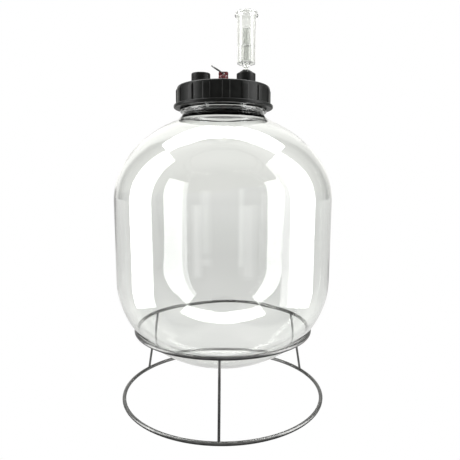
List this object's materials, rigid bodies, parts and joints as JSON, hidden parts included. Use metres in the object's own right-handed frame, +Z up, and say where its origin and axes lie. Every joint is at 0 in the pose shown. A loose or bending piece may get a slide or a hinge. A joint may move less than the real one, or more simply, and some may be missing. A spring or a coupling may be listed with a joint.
{
  "type": "fermentation carboy on a wire stand",
  "caption": "Round-bottomed clear carboy seated in a wire ring stand, with a screw-on ribbed lid, capped ports, a three-piece airlock and a pull-ring relief valve.",
  "frame": {"origin": "centre of the stand's base ring, on the floor", "axes": "+Z up along the vessel's axis; +X towards the port that carries the airlock; -Y towards the front leg of the stand"},
  "size_m": [0.348, 0.348, 0.6227],
  "materials": {
    "stainless_wire": "polished stainless wire with faint drawing lines",
    "clear_vessel": "clear, colourless and glossy, with a faint grey-green cast in the thick parts",
    "clear_airlock": "clear moulded plastic, slightly milky",
    "black_plastic": "black moulded plastic with a satin sheen",
    "black_rubber": "soft black rubber",
    "red_plastic": "deep red moulded plastic",
    "cap_liner": "pale grey foamed liner"
  },
  "bodies": {
    "stand": {"stand_base_ring": "stainless_wire", "stand_top_ring": "stainless_wire", "stand_front_leg": "stainless_wire", "stand_right_leg": "stainless_wire", "stand_left_leg": "stainless_wire"},
    "vessel": {"vessel": "clear_vessel"},
    "lid": {"lid_plate": "black_plastic", "lid_seal": "black_rubber", "relief_valve_washer": "black_rubber", "relief_valve_body": "red_plastic", "relief_valve_bonnet": "red_plastic", "relief_valve_spring": "stainless_wire"},
    "collar": {"lid_collar": "black_plastic"},
    "blank_liner": {"blank_port_liner": "cap_liner"},
    "blank_cap": {"blank_port_cap": "black_plastic"},
    "airlock_liner": {"airlock_port_liner": "cap_liner"},
    "airlock_cap": {"airlock_port_cap": "black_plastic", "airlock_grommet": "black_rubber"},
    "airlock": {"airlock_body": "clear_airlock"},
    "float": {"airlock_float": "clear_airlock"},
    "airlock_lid": {"airlock_lid": "clear_airlock"},
    "valve_stem": {"relief_valve_stem": "red_plastic", "relief_valve_seat_disc": "black_rubber"},
    "pull_ring": {"relief_valve_pull_ring": "stainless_wire"}
  },
  "joints": [
    {"name": "vessel_lift", "type": "slide", "parent": "stand", "child": "vessel", "axis": [0, 0, 1], "range_m": [0, 0.1]},
    {"name": "lid_rise", "type": "slide", "parent": "vessel", "child": "lid", "axis": [0, 0, 1], "range_m": [0, 0.0256]},
    {"name": "collar_turn", "type": "hinge", "parent": "lid", "child": "collar", "pos_m": [0, 0, 0.49], "axis": [0, 0, 1], "range_deg": [0, 1530]},
    {"name": "blank_liner_rise", "type": "slide", "parent": "lid", "child": "blank_liner", "axis": [0, 0, 1], "range_m": [0, 0.0163]},
    {"name": "blank_cap_turn", "type": "hinge", "parent": "blank_liner", "child": "blank_cap", "pos_m": [-0.036, 0, 0.518], "axis": [0, 0, 1], "range_deg": [0, 2160]},
    {"name": "airlock_liner_rise", "type": "slide", "parent": "lid", "child": "airlock_liner", "axis": [0, 0, 1], "range_m": [0, 0.0163]},
    {"name": "airlock_cap_turn", "type": "hinge", "parent": "airlock_liner", "child": "airlock_cap", "pos_m": [0.036, 0, 0.518], "axis": [0, 0, 1], "range_deg": [0, 2160]},
    {"name": "airlock_lift", "type": "slide", "parent": "airlock_cap", "child": "airlock", "axis": [0, 0, 1], "range_m": [0, 0.03]},
    {"name": "float_rise", "type": "slide", "parent": "airlock", "child": "float", "axis": [0, 0, 1], "range_m": [0, 0.016]},
    {"name": "airlock_lid_lift", "type": "slide", "parent": "airlock", "child": "airlock_lid", "axis": [0, 0, 1], "range_m": [0, 0.02]},
    {"name": "relief_pull", "type": "slide", "parent": "lid", "child": "valve_stem", "axis": [0, 0, 1], "range_m": [0, 0.004], "stiffness_N_per_m": 800, "springref_m": -0.005, "deforming": ["relief_valve_spring"]},
    {"name": "ring_swing", "type": "hinge", "parent": "valve_stem", "child": "pull_ring", "pos_m": [0, 0, 0.5277], "axis": [0, 1, 0], "range_deg": [-25, 119]}
  ],
  "couplings": [
    {"joint": "lid_rise", "follows": "collar_turn", "m_per_rad": 0.00095493},
    {"joint": "blank_liner_rise", "follows": "blank_cap_turn", "m_per_rad": 0.00042972},
    {"joint": "airlock_liner_rise", "follows": "airlock_cap_turn", "m_per_rad": 0.00042972}
  ]
}
